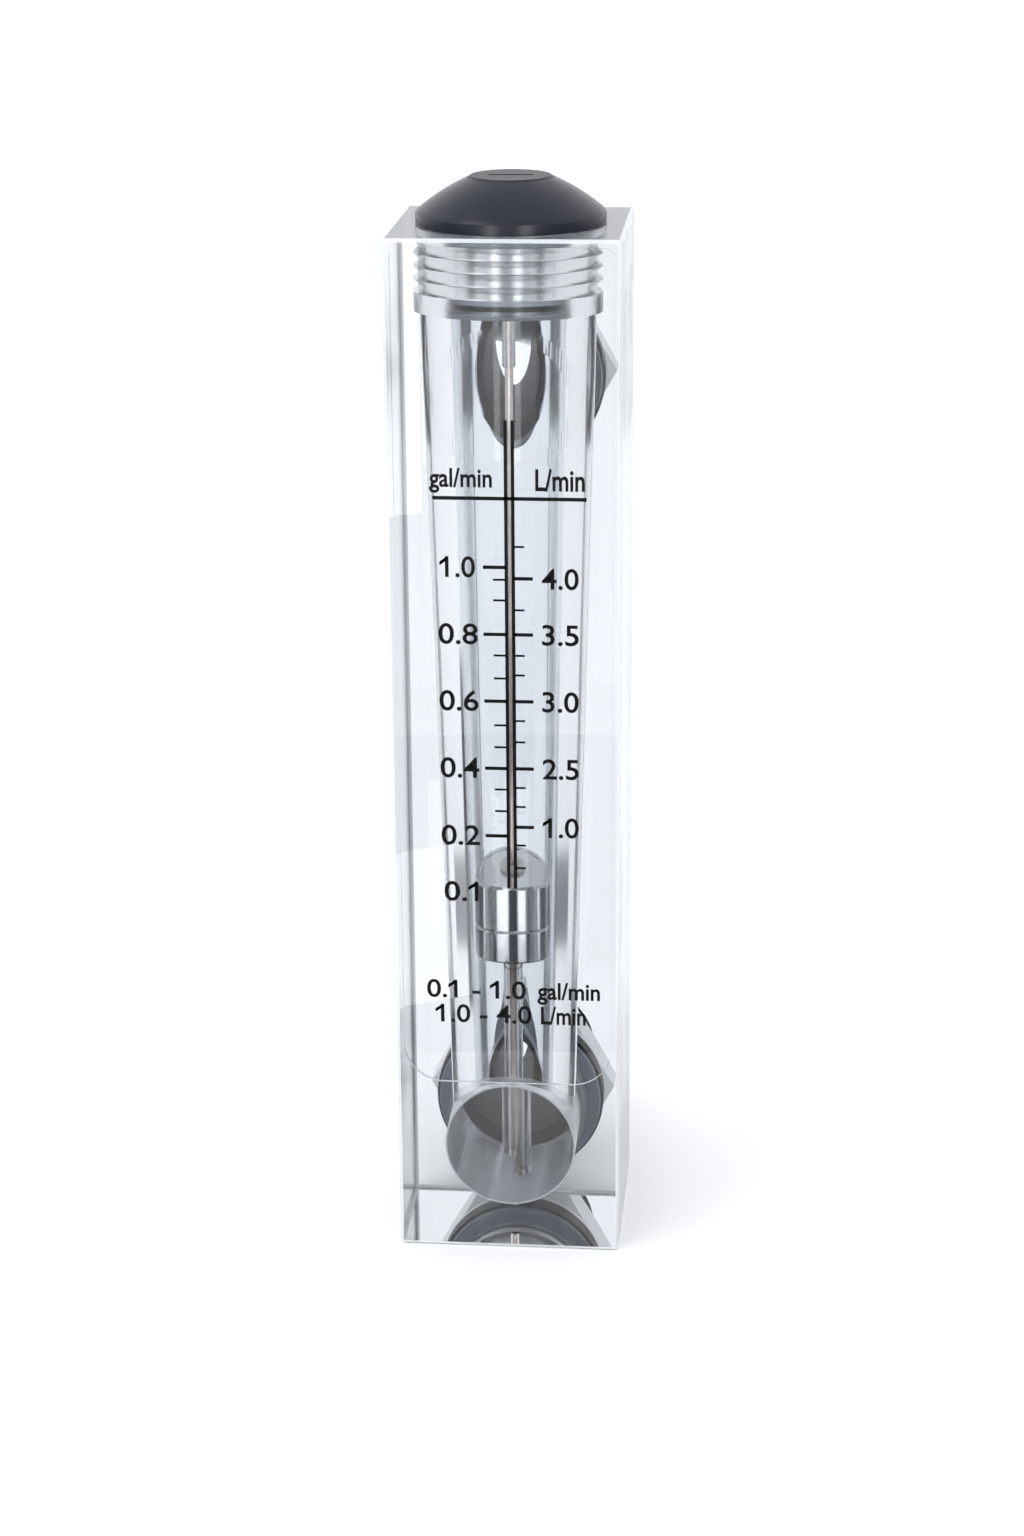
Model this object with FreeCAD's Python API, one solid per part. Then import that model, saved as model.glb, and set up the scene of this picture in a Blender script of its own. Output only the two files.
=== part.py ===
import FreeCAD, Part
import math
import os

# Clear block flow meter for a panel: a steel float rides on a rod in a tapered bore.
# Millimetres.  X is to the right, Y is to the rear (the panel side), Z is up.
# The origin is the centre of the block's base.

os.makedirs("parts", exist_ok=True)
V = FreeCAD.Vector

# ---- sizes ---------------------------------------------------------------------

# Clearances
thread_clearance = 0.05
running_clearance = 0.05
push_clearance = 0.02
end_clearance = 0.05

# The threaded plug that closes the top, thread G 3/4
plug_thread_radius = 13.22
plug_thread_pitch = 1.814
thread_root_gap = 0.1
plug_ridge_height = 0.95
plug_insertion = 10.9
plug_relief = 0.4
plug_land_height = 0.7
plug_land_chamfer = 0.25
plug_collar_height = 0.1
plug_boss_radius = 9.0
plug_boss_height = 1.2
plug_gasket_thickness = 0.5

# The domed cap on the plug
cap_overhang = 0.18
cap_rim_height = 1.5
cap_edge_round = 0.45
cap_height = 6.5
cap_flat_radius = 5.8
cap_flat_step = 0.15
cap_slot_length = 6.2
cap_slot_width = 0.8
cap_slot_depth = 0.5

# The clear block: its height, and its walls beside and before the plug's hole
block_height = 152.0
block_side_wall = 3.23
block_face_wall = 1.73
block_edge_round = 0.5

# The shallow flat on the front that carries the printed scale
recess_depth = 0.5
recess_rail = 1.1
recess_foot = 27.0
recess_corner = 6.0
recess_top_corner = 1.5

# The two rear ports, threaded G 1/2
port_thread_radius = 10.48
port_thread_depth = 6.0
port_core_step = 0.68
port_front_wall = 4.0
inlet_floor_wall = 5.9
outlet_top_wall = 1.1

# The tapered metering bore, from the inlet's axis up to the plug's seat
float_gap_low = 0.4
plug_seat_width = 0.87

# The steel guide rod and its seat in the floor
rod_radius = 0.9
rod_neck_radius = 0.5
rod_neck_length = 3.8
rod_foot_radius = 0.65
rod_foot_depth = 3.4
rod_top_grip = 8.0

# The lower stop, a sleeve on the rod with a tongue down one side
sleeve_wall = 1.35
sleeve_length = 33.8
sleeve_mouth_length = 3.0
sleeve_mouth_wall = 1.05
sleeve_tongue_length = 3.4

# The upper stop, a clear stem held in the plug
stem_wall = 0.55
stem_length = 9.5
stem_grip = 3.0
stem_end_round = 0.22

# The steel float on its bearing tube
float_radius = 8.8
float_height = 12.0
float_chamfer = 0.35
float_groove_drop = 7.0
float_groove_width = 0.5
float_groove_depth = 0.3
float_rim_width = 1.2
float_face_step = 0.15
bearing_wall = 1.2
bearing_flange_reach = 0.7
bearing_flange = 0.6
ring_height = 0.6

# The rear fittings: shank, flange, threaded barrel and pipe bore
shank_length = 5.0
flange_reach = 2.4
flange_thickness = 3.0
flange_round = 0.5
barrel_length = 17.0
barrel_chamfer = 1.0
pipe_bore_radius = 8.0
o_ring_section = 0.75
o_ring_inset = 1.9
gasket_thickness = 1.0
gasket_inset = 0.4
washer_thickness = 1.0
washer_inset = 0.2
nut_height = 6.0
nut_wall = 1.9
nut_chamfer = 0.8

# ---- radii, faces and heights that follow from the sizes --------------------------

plug_hole_radius = plug_thread_radius + thread_clearance
plug_root_radius = plug_thread_radius - plug_ridge_height
cap_radius = plug_thread_radius + cap_overhang
block_width = 2.0 * (plug_hole_radius + block_side_wall)
block_depth = 2.0 * (plug_hole_radius + block_face_wall)
front_y = -block_depth / 2.0
rear_y = block_depth / 2.0

port_hole_radius = port_thread_radius + thread_clearance
port_core_radius = port_thread_radius - port_core_step
port_end_y = front_y + port_front_wall
bore_low_radius = float_radius + float_gap_low
bore_top_radius = plug_hole_radius - plug_seat_width

floor_z = inlet_floor_wall
inlet_height = floor_z + port_core_radius
plug_bottom = block_height - plug_insertion
bore_top = plug_bottom - plug_gasket_thickness
outlet_height = bore_top - outlet_top_wall - port_hole_radius
cap_seat = block_height + plug_collar_height

stem_radius = rod_radius + stem_wall
stem_end = plug_bottom - stem_length
rod_neck_top = floor_z + rod_neck_length
sleeve_radius = rod_radius + sleeve_wall
sleeve_mouth_radius = rod_radius + sleeve_mouth_wall
sleeve_top = rod_neck_top + sleeve_length
bearing_radius = rod_radius + bearing_wall
bearing_flange_radius = bearing_radius + bearing_flange_reach
float_low = sleeve_top + end_clearance + bearing_flange
float_face_radius = float_radius - float_rim_width

flange_radius = port_hole_radius + flange_reach
gasket_radius = flange_radius - gasket_inset
washer_radius = flange_radius - washer_inset
nut_half_flats = port_hole_radius + nut_wall
flange_y = rear_y + gasket_thickness
washer_y = flange_y + flange_thickness
nut_y = washer_y + washer_thickness
barrel_end_y = washer_y + barrel_length


# ---- small helpers ------------------------------------------------------------------

def cylinder_z(radius, low, high, x=0.0, y=0.0):
    return Part.makeCylinder(radius, high - low, V(x, y, low), V(0, 0, 1))


def cylinder_y(radius, near, far, height):
    return Part.makeCylinder(radius, far - near, V(0, near, height), V(0, 1, 0))


def turned(points):
    """A solid turned about Z from (radius, height) corners."""
    corners = [V(r, 0, z) for r, z in points]
    face = Part.Face(Part.makePolygon(corners + [corners[0]]))
    return face.revolve(V(0, 0, 0), V(0, 0, 1), 360)


def stand_on_port(shape, height):
    """Lay a piece turned about Z down along Y, on a port's axis."""
    laid = shape.copy()
    laid.rotate(V(0, 0, 0), V(1, 0, 0), -90)
    laid.translate(V(0, 0, height))
    return laid


def save(name, shape):
    solids = shape.Solids
    result = solids[0] if len(solids) == 1 else Part.makeCompound(solids)
    result.exportStep(os.path.join("parts", name + ".step"))
    print(name, len(solids), "solid", round(shape.Volume, 2), "mm3")


# ---- the block -------------------------------------------------------------------------

def scale_recess():
    """The cutter for the flat that carries the scale: round below, nearly square above."""
    half = block_width / 2.0 - recess_rail
    top = block_height - recess_rail
    low = recess_foot
    r = recess_corner
    t = recess_top_corner
    a = math.sqrt(0.5)
    y = front_y - 1.0

    def p(x, z):
        return V(x, y, z)

    edges = [
        Part.LineSegment(p(-half + r, low), p(half - r, low)).toShape(),
        Part.Arc(p(half - r, low), p(half - r + r * a, low + r - r * a), p(half, low + r)).toShape(),
        Part.LineSegment(p(half, low + r), p(half, top - t)).toShape(),
        Part.Arc(p(half, top - t), p(half - t + t * a, top - t + t * a), p(half - t, top)).toShape(),
        Part.LineSegment(p(half - t, top), p(-half + t, top)).toShape(),
        Part.Arc(p(-half + t, top), p(-half + t - t * a, top - t + t * a), p(-half, top - t)).toShape(),
        Part.LineSegment(p(-half, top - t), p(-half, low + r)).toShape(),
        Part.Arc(p(-half, low + r), p(-half + r - r * a, low + r - r * a), p(-half + r, low)).toShape(),
    ]
    face = Part.Face(Part.Wire(edges))
    return face.extrude(V(0, 1.0 + recess_depth, 0))


def port_hole(height, end_y):
    """A port drilled from the rear as far as end_y, and widened for the fitting's thread."""
    thread = cylinder_y(port_hole_radius, rear_y - port_thread_depth, rear_y + 1.0, height)
    core = cylinder_y(port_core_radius, end_y, rear_y, height)
    return thread.fuse(core)


def plug_hole():
    """The hole for the plug, with the ridges of its thread standing in the plug's valleys."""
    wall = plug_hole_radius
    tip = plug_root_radius + thread_root_gap
    half = plug_thread_pitch / 2.0
    base = half * (wall - tip) / plug_ridge_height
    outline = [(0.0, bore_top), (wall, bore_top)]
    z = plug_bottom + plug_land_height + plug_ridge_height * 0.6 + plug_thread_pitch
    while z + plug_thread_pitch < block_height - plug_relief:
        outline.append((wall, z - base))
        outline.append((tip, z))
        outline.append((wall, z + base))
        z += plug_thread_pitch
    outline.append((wall, block_height + 1.0))
    outline.append((0.0, block_height + 1.0))
    return turned(outline)


def metering_block():
    block = Part.makeBox(block_width, block_depth, block_height, V(-block_width / 2.0, front_y, 0))
    block = block.makeFillet(block_edge_round, block.Edges)
    block = block.cut(scale_recess())
    # The bore widens upwards, so that the float lets more past the higher it rides.
    bore = Part.makeCone(bore_low_radius, bore_top_radius, bore_top - inlet_height, V(0, 0, inlet_height))
    block = block.cut(bore)
    block = block.cut(plug_hole())
    # The inlet runs on through the bore to a blind end, and the outlet stops in the bore.
    block = block.cut(port_hole(inlet_height, port_end_y))
    block = block.cut(port_hole(outlet_height, 0.0))
    seat = cylinder_z(rod_foot_radius + push_clearance, floor_z - rod_foot_depth, floor_z + 1.0)
    return block.cut(seat)


# ---- the plug and its cap ------------------------------------------------------------------

def top_plug():
    """Thread crests on a clear plug, with a collar under the cap and a boss inside it."""
    root = plug_root_radius
    half = plug_thread_pitch / 2.0
    land = plug_bottom + plug_land_height
    outline = [
        (0.0, plug_bottom),
        (plug_thread_radius - plug_land_chamfer, plug_bottom),
        (plug_thread_radius, plug_bottom + plug_land_chamfer),
        (plug_thread_radius, land),
        (root, land + plug_ridge_height * 0.6)]
    z = land + plug_ridge_height * 0.6 + half
    while z + half < block_height - plug_relief:
        outline.append((plug_thread_radius, z))
        outline.append((root, z + half))
        z += plug_thread_pitch
    outline.append((root, block_height - plug_relief / 2.0))
    outline.append((plug_thread_radius, block_height))
    outline.append((plug_thread_radius, cap_seat))
    outline.append((plug_boss_radius, cap_seat))
    outline.append((plug_boss_radius, cap_seat + plug_boss_height))
    outline.append((0.0, cap_seat + plug_boss_height))
    socket = cylinder_z(stem_radius + push_clearance, plug_bottom - 1.0, plug_bottom + stem_grip)
    return turned(outline).cut(socket)


def plug_gasket():
    """The flat ring between the plug's end and the shoulder at the top of the bore."""
    ring = cylinder_z(plug_thread_radius, bore_top, plug_bottom)
    return ring.cut(cylinder_z(bore_top_radius, bore_top - 1.0, plug_bottom + 1.0))


def plug_cap():
    """A low dome with a straight rim, a flat centre and a narrow turning slot."""
    low = cap_seat
    rim = low + cap_rim_height
    top = low + cap_height
    shoulder = cap_radius - cap_edge_round
    rise = top - cap_flat_step - rim - cap_edge_round
    run = shoulder - cap_flat_radius
    mid = V(cap_flat_radius + run * 0.52, 0, rim + cap_edge_round + rise * 0.56)
    start = V(shoulder, 0, rim + cap_edge_round)
    end = V(cap_flat_radius, 0, top - cap_flat_step)
    corners = [V(0, 0, low), V(cap_radius, 0, low), V(cap_radius, 0, rim), start]
    edges = [Part.LineSegment(corners[i], corners[i + 1]).toShape() for i in range(3)]
    edges.append(Part.Arc(start, mid, end).toShape())
    tail = [end, V(cap_flat_radius - cap_flat_step, 0, top), V(0, 0, top), V(0, 0, low)]
    edges += [Part.LineSegment(tail[i], tail[i + 1]).toShape() for i in range(3)]
    dome = Part.Face(Part.Wire(edges)).revolve(V(0, 0, 0), V(0, 0, 1), 360)
    boss = cylinder_z(plug_boss_radius + push_clearance, low - 1.0, low + plug_boss_height)
    slot = Part.makeBox(
        cap_slot_length, cap_slot_width, cap_slot_depth + 1.0,
        V(-cap_slot_length / 2.0, -cap_slot_width / 2.0, top - cap_slot_depth))
    return dome.cut(boss).cut(slot)


# ---- the rod and the two stops ---------------------------------------------------------------

def guide_rod():
    """A straight rod with a thin neck and a round foot that stands in the block's floor."""
    foot_end = floor_z - rod_foot_depth
    rod_top = stem_end + rod_top_grip
    rod = cylinder_z(rod_radius, rod_neck_top, rod_top)
    rod = rod.fuse(cylinder_z(rod_neck_radius, floor_z, rod_neck_top + 0.5))
    rod = rod.fuse(cylinder_z(rod_foot_radius, foot_end + rod_foot_radius, floor_z))
    tip = Part.makeSphere(rod_foot_radius, V(0, 0, foot_end + rod_foot_radius))
    return rod.fuse(tip).removeSplitter()


def lower_float_stop():
    """A sleeve on the rod: a thinner mouth above, and a half-round tongue below."""
    hole = rod_radius + push_clearance
    shoulder = sleeve_top - sleeve_mouth_length
    sleeve = cylinder_z(sleeve_radius, rod_neck_top, shoulder)
    sleeve = sleeve.fuse(cylinder_z(sleeve_mouth_radius, shoulder, sleeve_top))
    tongue = cylinder_z(sleeve_radius, rod_neck_top - sleeve_tongue_length, rod_neck_top)
    half = Part.makeBox(
        sleeve_radius * 2.0, sleeve_radius * 4.0, sleeve_tongue_length + 2.0,
        V(0, -sleeve_radius * 2.0, rod_neck_top - sleeve_tongue_length - 1.0))
    sleeve = sleeve.fuse(tongue.common(half))
    low = rod_neck_top - sleeve_tongue_length - 1.0
    return sleeve.cut(cylinder_z(hole, low, sleeve_top + 1.0)).removeSplitter()


def upper_float_stop():
    """A round-ended clear stem: the rod's top sits in it, and the float stops against it."""
    top = plug_bottom + stem_grip
    stem = cylinder_z(stem_radius, stem_end, top)
    ends = [e for e in stem.Edges if len(e.Vertexes) == 1 and abs(e.BoundBox.ZMax - stem_end) < 0.001]
    stem = stem.makeFillet(stem_end_round, ends)
    return stem.cut(cylinder_z(rod_radius + push_clearance, stem_end - 1.0, stem_end + rod_top_grip))


# ---- the float --------------------------------------------------------------------------------

def float_body():
    """A turned steel cylinder with a mark line round it and a slightly dished top face."""
    low = float_low
    top = low + float_height
    mark = top - float_groove_drop
    half = float_groove_width / 2.0
    hole = bearing_radius + running_clearance
    return turned([
        (hole, low),
        (float_radius - float_chamfer, low),
        (float_radius, low + float_chamfer),
        (float_radius, mark - half),
        (float_radius - float_groove_depth, mark),
        (float_radius, mark + half),
        (float_radius, top - float_chamfer),
        (float_radius - float_chamfer, top),
        (float_face_radius, top),
        (float_face_radius - float_face_step, top - float_face_step),
        (hole, top - float_face_step)])


def float_bearing_tube():
    """The tube that slides on the rod, with the flange that carries the float."""
    base = float_low - bearing_flange
    top = float_low + float_height - float_face_step + end_clearance
    tube = cylinder_z(bearing_flange_radius, base, float_low - end_clearance / 2.0)
    tube = tube.fuse(cylinder_z(bearing_radius, base, top + ring_height))
    return tube.cut(cylinder_z(rod_radius + running_clearance, base - 1.0, top + ring_height + 1.0))


def float_retaining_ring():
    """The ring pressed on the tube's top end, which keeps the float down on the flange."""
    low = float_low + float_height - float_face_step + end_clearance
    ring = cylinder_z(bearing_flange_radius, low, low + ring_height)
    return ring.cut(cylinder_z(bearing_radius, low - 1.0, low + ring_height + 1.0))


# ---- a rear fitting, turned about its own axis and then laid on a port ------------------------------

def fitting():
    inner = rear_y - shank_length
    groove = inner + o_ring_inset
    deep = port_hole_radius - 2.0 * o_ring_section
    body = turned([
        (pipe_bore_radius, inner),
        (port_thread_radius, inner),
        (port_thread_radius, groove - o_ring_section),
        (deep, groove - o_ring_section),
        (deep, groove + o_ring_section),
        (port_thread_radius, groove + o_ring_section),
        (port_thread_radius, flange_y),
        (flange_radius, flange_y),
        (flange_radius, washer_y - flange_round),
        (flange_radius - flange_round, washer_y),
        (port_thread_radius, washer_y),
        (port_thread_radius, barrel_end_y - barrel_chamfer),
        (port_thread_radius - barrel_chamfer, barrel_end_y),
        (pipe_bore_radius, barrel_end_y)])
    return body


def shank_ring():
    """The sealing ring in the shank's groove, with its round section drawn as an octagon."""
    centre = port_hole_radius - o_ring_section
    groove = rear_y - shank_length + o_ring_inset
    reach = o_ring_section / math.cos(math.pi / 8.0)
    section = []
    for i in range(8):
        angle = math.pi * (i + 0.5) / 4.0
        section.append((centre + reach * math.cos(angle), groove + reach * math.sin(angle)))
    return turned(section)


def flange_gasket():
    ring = cylinder_z(gasket_radius, rear_y, flange_y)
    return ring.cut(cylinder_z(port_hole_radius, rear_y - 1.0, flange_y + 1.0))


def panel_washer():
    ring = cylinder_z(washer_radius, washer_y, nut_y)
    return ring.cut(cylinder_z(port_hole_radius, washer_y - 1.0, nut_y + 1.0))


def panel_nut():
    """A thin hexagon nut with both ends' corners turned off."""
    corner = 2.0 * nut_half_flats / math.sqrt(3.0)
    points = []
    for i in range(7):
        angle = math.radians(60.0 * i)
        points.append(V(corner * math.cos(angle), corner * math.sin(angle), nut_y))
    hexagon = Part.Face(Part.makePolygon(points)).extrude(V(0, 0, nut_height))
    turned_off = turned([
        (0.0, nut_y),
        (nut_half_flats, nut_y),
        (corner, nut_y + nut_chamfer),
        (corner, nut_y + nut_height - nut_chamfer),
        (nut_half_flats, nut_y + nut_height),
        (0.0, nut_y + nut_height)])
    nut = hexagon.common(turned_off)
    return nut.cut(cylinder_z(port_hole_radius, nut_y - 1.0, nut_y + nut_height + 1.0))


# ---- write the parts ---------------------------------------------------------------------------------

save("metering_block", metering_block())
save("top_plug", top_plug())
save("plug_gasket", plug_gasket())
save("plug_cap", plug_cap())
save("guide_rod", guide_rod())
save("lower_float_stop", lower_float_stop())
save("upper_float_stop", upper_float_stop())
save("float_body", float_body())
save("float_bearing_tube", float_bearing_tube())
save("float_retaining_ring", float_retaining_ring())

for side, height in (("inlet", inlet_height), ("outlet", outlet_height)):
    save(side + "_fitting", stand_on_port(fitting(), height))
    save(side + "_o_ring", stand_on_port(shank_ring(), height))
    save(side + "_gasket", stand_on_port(flange_gasket(), height))
    save(side + "_washer", stand_on_port(panel_washer(), height))
    save(side + "_nut", stand_on_port(panel_nut(), height))
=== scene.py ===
# %% [markdown]
# # A panel flow meter in a clear block
# A rotameter shows how fast a liquid flows: the stream lifts a steel float up a bore that
# widens, and the float's top edge is read against a printed scale.  The solid parts come from
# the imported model, already in place and in metres.  This lesson gives them their finishes,
# adds the printed scale and the fine threads, and lights the result.

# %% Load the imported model
import bpy
import bmesh
import math
from mathutils import Matrix, Vector


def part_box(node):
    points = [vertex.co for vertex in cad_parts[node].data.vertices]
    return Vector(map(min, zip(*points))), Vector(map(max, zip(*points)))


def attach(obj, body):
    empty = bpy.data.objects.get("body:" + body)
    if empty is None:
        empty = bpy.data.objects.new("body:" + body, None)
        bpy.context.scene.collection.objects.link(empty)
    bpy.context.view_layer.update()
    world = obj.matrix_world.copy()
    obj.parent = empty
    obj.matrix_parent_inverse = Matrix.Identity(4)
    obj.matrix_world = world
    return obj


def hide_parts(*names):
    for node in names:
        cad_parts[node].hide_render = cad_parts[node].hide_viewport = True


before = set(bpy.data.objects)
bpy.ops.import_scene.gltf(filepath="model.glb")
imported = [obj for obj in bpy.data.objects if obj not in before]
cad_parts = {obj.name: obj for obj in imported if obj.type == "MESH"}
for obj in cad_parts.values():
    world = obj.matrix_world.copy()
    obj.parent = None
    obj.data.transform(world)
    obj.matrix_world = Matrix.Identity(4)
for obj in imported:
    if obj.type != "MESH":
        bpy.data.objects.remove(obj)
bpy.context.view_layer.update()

# %% [markdown]
# Blender's unit is the metre, but a machinist thinks in millimetres, so one small value does
# the conversion.  Places are never typed in twice: they are read from the boxes of the packed
# nodes, so that a changed model carries the scale and the finishes with it.

# %% Millimetres and the boxes of the main pieces
MM = 0.001


def span(node):
    low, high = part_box(node)
    return Vector(low), Vector(high)


block_low, block_high = span("metering_block")
cap_high = span("plug_cap")[1]
float_high = span("float_body")[1]
print("block in mm:", [round(v / MM, 1) for v in block_high - block_low])
print("float top above the base, mm:", round(float_high.z / MM, 2))

# %% [markdown]
# Colours are picked as the hex values that a screen shows.  Shaders work with linear
# light, so one function turns hex into linear numbers.

# %% Hex colours to linear light
def linear(hex_value, alpha=1.0):
    channels = []
    for shift in (16, 8, 0):
        c = ((hex_value >> shift) & 255) / 255.0
        channels.append(c / 12.92 if c <= 0.04045 else ((c + 0.055) / 1.055) ** 2.4)
    return (channels[0], channels[1], channels[2], alpha)


print("mid grey is", round(linear(0x808080)[0], 3))

# %% [markdown]
# Every finish is a small network of nodes.  One function adds a node of any kind, sets its
# properties and sockets, and joins it to what feeds it, so that a material reads as a recipe.

# %% One function that adds any node
def add(tree, kind, at=(0, 0), props=None, values=None, links=None):
    node = tree.nodes.new(kind)
    node.location = (at[0] * 220, at[1] * 180)
    for key, value in (props or {}).items():
        setattr(node, key, value)
    for key, value in (values or {}).items():
        node.inputs[key].default_value = value
    for key, source in (links or {}).items():
        tree.links.new(source, node.inputs[key])
    return node


def new_material(name):
    material = bpy.data.materials.new(name)
    material.use_nodes = True
    material.node_tree.nodes.clear()
    return material, material.node_tree


print("ready to mix materials")

# %% [markdown]
# ## Clear acrylic
# The block is cast acrylic (PMMA), sawn from thick sheet, then bored and polished.  It bends
# light by 1.49, which is why the bore looks bright, the float looks thinner than it is, and
# what stands behind breaks into upright bands.  The drilled ports are left as the tool cut
# them, so their walls are greyer and rougher.  A mask is a value from 0 to 1 that says where
# a mark is.  Masks are made from each point's place, so one material serves the whole block.

# %% Where the tools left their marks, and how far a point is from an axis
inlet_z = (span("inlet_fitting")[0].z + span("inlet_fitting")[1].z) / 2
outlet_z = (span("outlet_fitting")[0].z + span("outlet_fitting")[1].z) / 2
PORT_RADIUS = 9.8 * MM          # the drilled ports
PORT_BAND = 0.9 * MM            # how near to that radius a point is on a port's wall
PORT_REACH = 14.3 * MM          # how far from the middle the ports' walls run
PORT_END = -11.0 * MM           # the blind end of the inlet's port
BLOOM_MIDDLE = 1.7 * MM         # the part of that port's wall that is milky, along Y
BLOOM_HALF = 12.5 * MM
RIM_RADIUS = 9.7 * MM           # the sharp rim at the blind end
RIM_HALF = 0.16 * MM            # how far the rim's mask reaches, across
RIM_DEEP = 0.06 * MM            # and along the port
TAPPED_RADIUS = 12.8 * MM       # the middle of the plug's thread
TAPPED_BAND = 0.6 * MM
SKIN = 0.35 * MM                # how near to a face a point is on it
STEP_HALF = 0.22 * MM           # how far the milled step's mask reaches from its middle
ARRIS = 0.5 * MM                # the width of the broken edges
FLAT_DEPTH = 0.5 * MM           # how deep the scale's flat is milled
A_HAIR = 0.01 * MM              # puts a point just past a face
TWO_ON = 1.5                    # a sum of masks over this has at least two of them on
WAVE = 0.314                    # the length of one wave of a wave texture at scale 1
CUT_PITCH = 0.35 * MM           # the feed of the boring tool
print("ports at", round(inlet_z / MM, 1), "and", round(outlet_z / MM, 1), "mm")


def distance_from_axis(tree, coords, row, keep, shift=(0, 0, 0)):
    """How far each point lies from an axis: the way along the axis is scaled to nothing."""
    flat = add(tree, "ShaderNodeMapping", (-7, row), values={"Location": shift, "Scale": keep},
               links={"Vector": coords.outputs["Object"]})
    reach = add(tree, "ShaderNodeVectorMath", (-6, row), {"operation": "LENGTH"},
                links={0: flat.outputs[0]})
    return reach.outputs["Value"]


# %% [markdown]
# The ports are drilled from the rear into the bore, so their walls are cylinders that lie
# along Y.  A point is on such a wall when its distance from the port's axis is about the
# port's radius.  The inlet's port runs on through the bore to a blind end, and its wall keeps a
# faint milky bloom.  The sharp rim at the blind end catches the light as a thin white line,
# and that line is a painted highlight: the plastic is whitened along the rim.

# %% Masks for the drilled ports
def port_masks(tree, coords, inside, behind):
    walls, reaches = [], []
    for row, height in enumerate((inlet_z, outlet_z)):
        reach = distance_from_axis(tree, coords, -row, (1, 0, 1), (0, 0, -height))
        wall = add(tree, "ShaderNodeMath", (-5, -row), {"operation": "COMPARE"},
                   values={1: PORT_RADIUS, 2: PORT_BAND}, links={0: reach})
        reaches.append(reach)
        walls.append(wall.outputs[0])
    both = add(tree, "ShaderNodeMath", (-4, 0), {"operation": "MAXIMUM"},
               links={0: walls[0], 1: walls[1]})
    within = add(tree, "ShaderNodeMath", (-5, 2), {"operation": "LESS_THAN"},
                 values={1: PORT_REACH}, links={0: behind.outputs[0]})
    cut = add(tree, "ShaderNodeMath", (-4, 1), {"operation": "MULTIPLY"},
              links={0: both.outputs[0], 1: within.outputs[0]})
    # The inlet's wall alone, from just behind its blind end to the fitting.
    along = add(tree, "ShaderNodeMath", (-5, 6), {"operation": "COMPARE"},
                values={1: BLOOM_MIDDLE, 2: BLOOM_HALF}, links={0: inside.outputs["Y"]})
    inlet = add(tree, "ShaderNodeMath", (-4, 7), {"operation": "MULTIPLY"},
                links={0: walls[0], 1: along.outputs[0]})
    # Painted highlight: the blind end's sharp rim is whitened to draw the light it catches.
    at_end = add(tree, "ShaderNodeMath", (-5, 10), {"operation": "COMPARE"},
                 values={1: PORT_END, 2: RIM_DEEP}, links={0: inside.outputs["Y"]})
    at_rim = add(tree, "ShaderNodeMath", (-5, 11), {"operation": "COMPARE"},
                 values={1: RIM_RADIUS, 2: RIM_HALF}, links={0: reaches[0]})
    rim_highlight = add(tree, "ShaderNodeMath", (-4, 10), {"operation": "MULTIPLY"},
              links={0: at_end.outputs[0], 1: at_rim.outputs[0]})
    return cut.outputs[0], inlet.outputs[0], rim_highlight.outputs[0]


print("port walls lie", round(PORT_RADIUS / MM, 1), "mm from each port's axis")

# %% [markdown]
# The block's sides and top are sawn and only sanded, so they are a little satin.  The edges
# are broken with a file, which whitens them, and so is the milled step round the scale's
# flat.  A point on an edge is near two of the block's faces, so two out of three tests hold.

# %% Masks for the sanded faces, the broken edges and the milled step
def face_masks(tree, inside, behind):
    aside = add(tree, "ShaderNodeMath", (-6, 3), {"operation": "ABSOLUTE"},
                links={0: inside.outputs["X"]})
    at_side = add(tree, "ShaderNodeMath", (-5, 3), {"operation": "GREATER_THAN"},
                  values={1: block_high.x - SKIN}, links={0: aside.outputs[0]})
    at_top = add(tree, "ShaderNodeMath", (-5, 4), {"operation": "GREATER_THAN"},
                 values={1: block_high.z - SKIN}, links={0: inside.outputs["Z"]})
    faces = add(tree, "ShaderNodeMath", (-4, 3), {"operation": "MAXIMUM"},
                links={0: at_side.outputs[0], 1: at_top.outputs[0]})
    step = add(tree, "ShaderNodeMath", (-5, 7), {"operation": "COMPARE"},
               values={1: block_low.y + FLAT_DEPTH / 2, 2: STEP_HALF},
               links={0: inside.outputs["Y"]})
    near_y = add(tree, "ShaderNodeMath", (-5, 8), {"operation": "GREATER_THAN"},
                 values={1: block_high.y - ARRIS}, links={0: behind.outputs[0]})
    near_x = add(tree, "ShaderNodeMath", (-5, 9), {"operation": "GREATER_THAN"},
                 values={1: block_high.x - ARRIS}, links={0: aside.outputs[0]})
    mid_z = add(tree, "ShaderNodeMath", (-6, 10), {"operation": "COMPARE"},
                values={1: block_high.z / 2, 2: block_high.z / 2 - ARRIS},
                links={0: inside.outputs["Z"]})
    near_z = add(tree, "ShaderNodeMath", (-5, 10), {"operation": "SUBTRACT"},
                 values={0: 1.0}, links={1: mid_z.outputs[0]})
    two = add(tree, "ShaderNodeMath", (-4, 9), {"operation": "ADD"},
              links={0: near_x.outputs[0], 1: near_y.outputs[0]})
    three = add(tree, "ShaderNodeMath", (-4, 10), {"operation": "ADD"},
                links={0: two.outputs[0], 1: near_z.outputs[0]})
    arris = add(tree, "ShaderNodeMath", (-3, 10), {"operation": "GREATER_THAN"},
                values={1: TWO_ON}, links={0: three.outputs[0]})
    return faces.outputs[0], step.outputs[0], arris.outputs[0]


print("broken edges", round(ARRIS / MM, 1), "mm wide")

# %% [markdown]
# The plug's hole keeps the tap's satin surface.  It is found by its distance from the block's
# own axis, above the seat of the plug's seal.

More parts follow.
